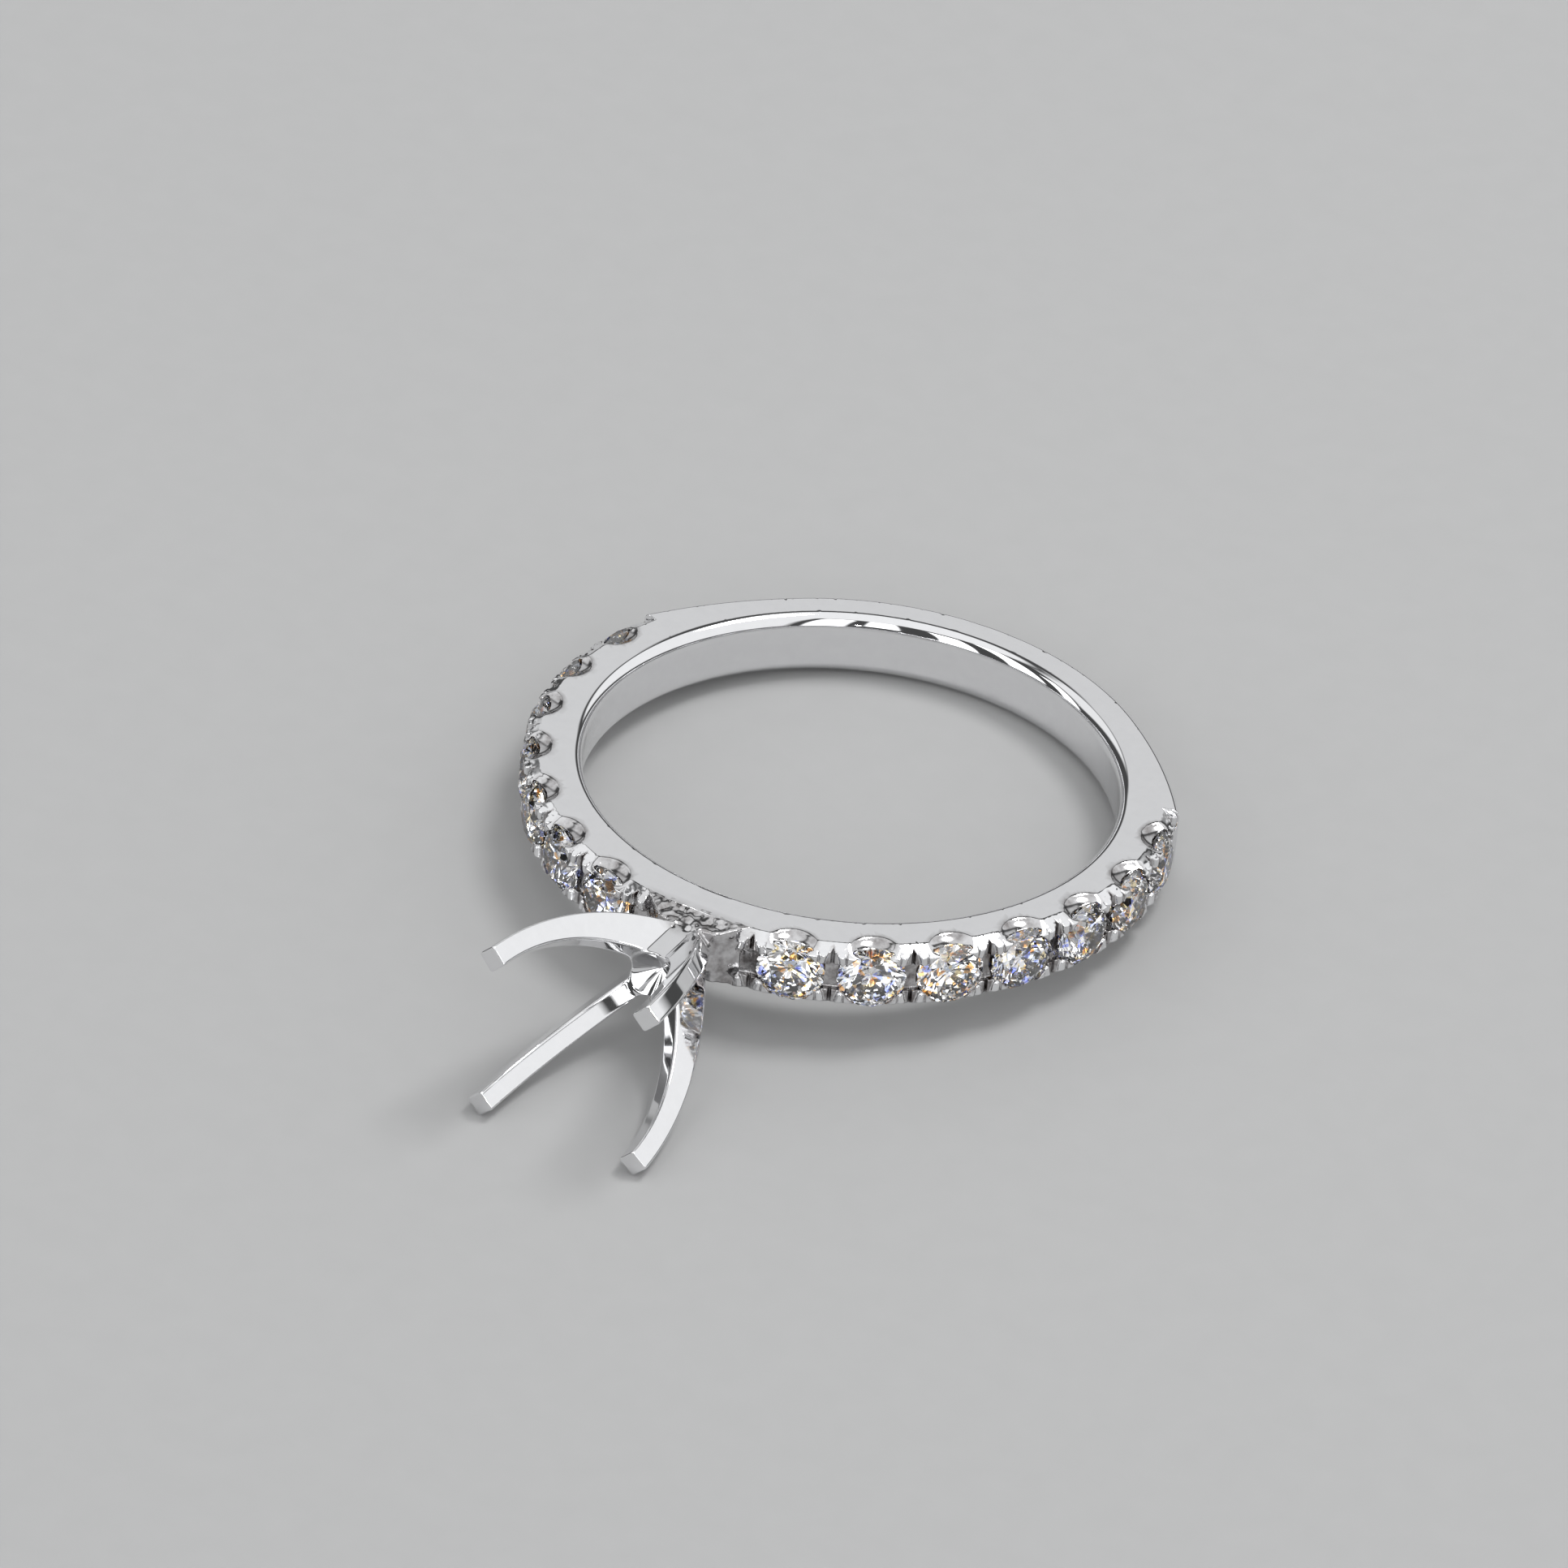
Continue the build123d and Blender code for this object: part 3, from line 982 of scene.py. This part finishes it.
# Painted fire: cells of the stones' colour tinted orange and blue stand in for the light a diamond
# splits
FLASH_SCALE = 5200.0
FLASHES = (
    (0.0, (1.0, 0.30, 0.04)),
    (0.08, (1.0, 0.72, 0.25)),
    (0.15, (1.0, 1.0, 1.0)),
    (0.76, (0.62, 0.74, 1.0)),
    (0.83, (0.16, 0.22, 1.0)),
    (0.90, (1.0, 0.95, 0.92)),
)
PAPER_GRAIN = {"Scale": 900.0, "Detail": 2.0}
GRAIN_SHADE = 0.98
PAPER_ROUGHNESS = 0.8


def mottled(colour, shade):
    """Stops from a shaded colour to the colour, over the middle of a noise."""
    return (0.3, [part * shade for part in colour]), (0.7, colour)


def new_material(name):
    """Empty material and its node tree."""
    material = bpy.data.materials.new(name)
    material.use_nodes = True
    material.node_tree.nodes.clear()
    return material, material.node_tree


def white_gold(finish):
    """Rhodium-plated white gold with a mirror polish, faint traces of the wheel and painted shade
    in its grooves and round the head's foot.
    """
    if "polished_gold" in bpy.data.materials:
        return bpy.data.materials["polished_gold"]
    material, tree = new_material("polished_gold")
    place = add_node(tree, "ShaderNodeTexCoord", output="Object")
    marks = add_node(tree, "ShaderNodeTexNoise", values={"Vector": place, **WHEEL_MARKS})
    waves = add_node(tree, "ShaderNodeTexNoise", values={"Vector": place, **POLISH_WAVES})
    tone = add_node(
        tree, "ShaderNodeValToRGB", {"stops": mottled(finish.gold, MARK_SHADE)}, {"Fac": marks}
    )
    bump = add_node(tree, "ShaderNodeBump", values={"Height": waves, **WAVE_HEIGHT})

    # Painted shade darkens the grooves, more in some patches than in others
    recess = add_node(tree, "ShaderNodeAttribute", {"attribute_name": "recess"}, output="Fac")
    patches = larger(smaller((marks - PATCH_START) * PATCH_GAIN, 1.0), 0.0)
    depth = recess * (EVEN_SHADE + patches * (1.0 - EVEN_SHADE))

    # Sockets 6 and 7 and output 2 are the Mix node's colours
    tone = add_node(
        tree,
        "ShaderNodeMix",
        {"data_type": "RGBA"},
        {"Factor": smaller(depth, 1.0), 6: tone, 7: (*finish.recess, 1.0)},
        2,
    )
    shader = add_node(
        tree,
        "ShaderNodeBsdfPrincipled",
        values={
            "Base Color": tone,
            "Metallic": 1.0,
            "Roughness": marks * MARK_ROUGHNESS + recess * RECESS_ROUGHNESS + POLISH_ROUGHNESS,
            "Normal": bump,
        },
    )
    add_node(tree, "ShaderNodeOutputMaterial", values={"Surface": shader})
    return material


def diamond(finish):
    """Clear stone with painted flashes of spectral colour in place of the fire that light gives a
    real stone.
    """
    material, tree = new_material("clear_stone")
    place = add_node(tree, "ShaderNodeTexCoord", output="Object")
    cells = {"Vector": place, "Scale": FLASH_SCALE}
    flash = add_node(tree, "ShaderNodeTexVoronoi", values=cells, output="Color")
    share = add_node(tree, "ShaderNodeSeparateColor", values={"Color": flash})
    colour = add_node(
        tree,
        "ShaderNodeValToRGB",
        {"interpolation": "CONSTANT", "stops": FLASHES},
        {"Fac": share},
    )
    shader = add_node(
        tree,
        "ShaderNodeBsdfPrincipled",
        values={
            "Base Color": colour,
            "Roughness": 0.0,
            "IOR": finish.index,
            "Transmission Weight": 1.0,
        },
    )
    add_node(tree, "ShaderNodeOutputMaterial", values={"Surface": shader})
    return material


def floor_finish(stage):
    """Pale matt paper with a very fine grain."""
    material, tree = new_material("floor")
    place = add_node(tree, "ShaderNodeTexCoord", output="Object")
    grain = add_node(tree, "ShaderNodeTexNoise", values={"Vector": place, **PAPER_GRAIN})
    tone = add_node(
        tree, "ShaderNodeValToRGB", {"stops": mottled(stage.floor, GRAIN_SHADE)}, {"Fac": grain}
    )
    paper = {"Base Color": tone, "Roughness": PAPER_ROUGHNESS}
    shader = add_node(tree, "ShaderNodeBsdfPrincipled", values=paper)
    add_node(tree, "ShaderNodeOutputMaterial", values={"Surface": shader})
    return material


# Light and camera

# Soft boxes: bearing from +Y to +X, height, half width, half height and softness, all in degrees,
# and strength

SOFT_BOXES = (
    ("behind", -24.0, 28.0, 30.0, 17.0, 5.0, 0.72),
    ("right", 68.0, 35.0, 54.0, 27.0, 4.0, 0.98),
    ("left", -80.0, 38.0, 22.0, 16.0, 6.0, 0.95),
    ("front right", 137.0, 30.0, 8.0, 26.0, 3.0, 2.6),
    ("front", 160.0, 38.0, 7.0, 20.0, 2.0, 2.2),
    ("front left", -168.0, 28.0, 8.0, 24.0, 2.0, 2.6),
    ("left front", -136.0, 34.0, 9.0, 24.0, 2.0, 2.4),
    ("far left", -112.0, 24.0, 5.0, 18.0, 2.0, 2.4),
    ("overhead", 0.0, 90.0, 400.0, 31.0, 4.0, 1.0),
)

SURROUND = 0.07
SKY_COLOUR = (0.985, 0.992, 1.0, 1.0)
STONE_BOUNCES = 12
METAL_BOUNCES = 8

# Lamps: bearing and height in degrees, distance and size in metres, share of the key light's power

LAMPS = (
    ("key", 35.0, 66.0, 0.7, 0.26, 1.0),
    ("glint", 150.0, 20.0, 0.6, 0.02, 0.04),
)


def direction_of(bearing, height):
    """Unit vector towards a bearing from +Y to +X and a height, in degrees."""
    b, h = math.radians(bearing), math.radians(height)
    return Vector((math.sin(b) * math.cos(h), math.cos(b) * math.cos(h), math.sin(h)))


def within(value, centre, half, soft):
    """One where a value is near a centre, falling to nothing over a soft edge."""
    shown = (half - abs(value - centre)) / soft + 0.5
    return smaller(larger(shown, 0.0), 1.0)


def make_world(scene):
    """Studio round the ring: soft boxes on a dark surround, as a function of direction."""
    world = bpy.data.worlds.new("studio")
    scene.world = world
    world.use_nodes = True
    tree = world.node_tree
    tree.nodes.clear()
    x, y, z = parts_of(add_node(tree, "ShaderNodeTexCoord", output="Generated"))
    bearing = x.math("ARCTAN2", y) * math.degrees(1)
    height = z.math("ARCSINE") * math.degrees(1)
    strength = None
    for _, middle, rise, half, tall, soft, power in SOFT_BOXES:
        mask = within(bearing, middle, half, soft) * within(height, rise, tall, soft)
        under = SURROUND if strength is None else strength
        strength = (power - under) * mask + under
    sky = {"Color": SKY_COLOUR, "Strength": strength}
    background = add_node(tree, "ShaderNodeBackground", values=sky)
    add_node(tree, "ShaderNodeOutputWorld", values={"Surface": background})
    scene.view_settings.view_transform = "Standard"
    scene.cycles.transmission_bounces = STONE_BOUNCES
    scene.cycles.glossy_bounces = METAL_BOUNCES


def add_lamp(scene, name, place, size, power):
    """Adds a round area light that looks at the ring."""
    light = bpy.data.lights.new(name, "AREA")
    light.shape = "DISK"
    light.size = size
    light.energy = power
    lamp = bpy.data.objects.new(name, light)
    lamp.location = place
    lamp.rotation_euler = (-place).to_track_quat("-Z", "Y").to_euler()
    scene.collection.objects.link(lamp)


def make_lamps(scene):
    """Main light and a small one that gives the stones their glint."""
    for name, bearing, height, distance, size, share in LAMPS:
        place = direction_of(bearing, height) * distance
        add_lamp(scene, name, place, size, scene.ring_stage.key * share)


CAMERA_PLACE = Vector((0.125693, -0.244556, 0.213554))
CAMERA_RIGHT = Vector((0.87142, 0.48831, 0.04672))
CAMERA_UP = Vector((-0.32842, 0.51004, 0.79498))
CAMERA_FORWARD = Vector((-0.36436, 0.70811, -0.60484))
CAMERA_ANGLE = math.radians(7.845)
SENSOR_WIDTH = 36.0
NEAREST_SEEN = 0.01
FURTHEST_SEEN = 10.0
FLOOR_SIZE = 1.5


def make_camera(scene):
    """Camera at the photo's angle."""
    data = bpy.data.cameras.new("camera")
    data.sensor_width = SENSOR_WIDTH
    data.lens = SENSOR_WIDTH / 2 / math.tan(CAMERA_ANGLE / 2)
    data.clip_start = NEAREST_SEEN
    data.clip_end = FURTHEST_SEEN
    camera = bpy.data.objects.new("camera", data)
    turn = Matrix((CAMERA_RIGHT, CAMERA_UP, -CAMERA_FORWARD)).transposed()
    camera.matrix_world = Matrix.Translation(CAMERA_PLACE) @ turn.to_4x4()
    scene.collection.objects.link(camera)
    scene.camera = camera


# Operators


class RING_OT_band(bpy.types.Operator):
    """Makes the band, with its scallops, posts, prong tips and plain shank"""

    bl_idname = "ring.band"
    bl_label = "Band"

    def execute(self, context):
        sizes = band_numbers(context.scene)
        edge = sizes["Half Width"] + BAND_MARGIN
        low, high = (*BAND_LOW, -edge), (*BAND_HIGH, edge)
        cell = context.scene.ring_finish.cell
        make_metal(context.scene, "band", sizes, band_distance, low, high, cell, BAND_FLATNESS)
        return {"FINISHED"}


class RING_OT_head(bpy.types.Operator):
    """Makes the head with its foot, stem and four prongs"""

    bl_idname = "ring.head"
    bl_label = "Head"

    def execute(self, context):
        sizes = head_numbers(context.scene)
        reach = sizes["Spread"] * DIAGONAL + sizes["Prong Half Width"]
        front = sizes["Finger Radius"] + sizes["Height"] + HEAD_MARGIN
        back = sizes["Finger Radius"] + sizes["Foot Seat"] - HEAD_MARGIN
        low, high = (-reach, -front, -reach), (reach, -back, reach)
        cell = context.scene.ring_finish.cell * HEAD_CELL
        make_metal(context.scene, "head", sizes, head_distance, low, high, cell, HEAD_FLATNESS)
        return {"FINISHED"}


class RING_OT_stones(bpy.types.Operator):
    """Sets the round brilliant side stones"""

    bl_idname = "ring.stones"
    bl_label = "Side stones"

    def execute(self, context):
        scene = context.scene
        pattern = bpy.data.objects.new("brilliant", brilliant(scene.ring_setting.diameter))
        values = dict(band_numbers(scene))
        values["Count"] = scene.ring_setting.count * 2
        values["Seed"] = scene.ring_finish.seed
        values["Stone"] = pattern
        values["Finish"] = diamond(scene.ring_finish)
        mesh = made_by(stones_tree(), values, "side_stones")
        mesh.transform(lie_down())
        mesh.shade_flat()
        names = [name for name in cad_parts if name.startswith("stone_")]
        put_down(mesh, "side_stones", "diamond", *names)
        bpy.data.objects.remove(pattern)
        return {"FINISHED"}


class RING_OT_stage(bpy.types.Operator):
    """Makes the pale floor, the soft light and the camera"""

    bl_idname = "ring.stage"
    bl_label = "Stage"

    def execute(self, context):
        scene = context.scene
        shape = bmesh.new()
        bmesh.ops.create_grid(shape, x_segments=4, y_segments=4, size=FLOOR_SIZE)
        mesh = bpy.data.meshes.new("floor")
        shape.to_mesh(mesh)
        shape.free()
        mesh.materials.append(floor_finish(scene.ring_stage))
        floor = bpy.data.objects.new("floor", mesh)
        scene.collection.objects.link(floor)
        make_world(scene)
        make_lamps(scene)
        make_camera(scene)
        return {"FINISHED"}


class RING_PT_panel(bpy.types.Panel):
    """Lists the pieces of the ring"""

    bl_label = "Semi Mount Ring"
    bl_space_type = "VIEW_3D"
    bl_region_type = "UI"
    bl_category = "Ring"

    def draw(self, context):
        for operator in OPERATORS:
            self.layout.operator(operator.bl_idname)


GROUPS = {
    "ring_band": RingBandSizes,
    "ring_setting": RingSettingSizes,
    "ring_head": RingHeadSizes,
    "ring_finish": RingFinish,
    "ring_stage": RingStage,
}
OPERATORS = (RING_OT_stage, RING_OT_band, RING_OT_head, RING_OT_stones)


def register():
    """Registers the settings, operators and panel."""
    for name, group in GROUPS.items():
        bpy.utils.register_class(group)
        setattr(bpy.types.Scene, name, PointerProperty(type=group))
    for each in (*OPERATORS, RING_PT_panel):
        bpy.utils.register_class(each)


def unregister():
    """Takes them away again."""
    for each in (RING_PT_panel, *reversed(OPERATORS)):
        bpy.utils.unregister_class(each)
    for name, group in GROUPS.items():
        delattr(bpy.types.Scene, name)
        bpy.utils.unregister_class(group)


def main():
    """Builds the ring and its stage."""
    register()
    bpy.ops.ring.stage()
    bpy.ops.ring.band()
    bpy.ops.ring.head()
    bpy.ops.ring.stones()
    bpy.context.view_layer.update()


if __name__ == "__main__":
    main()
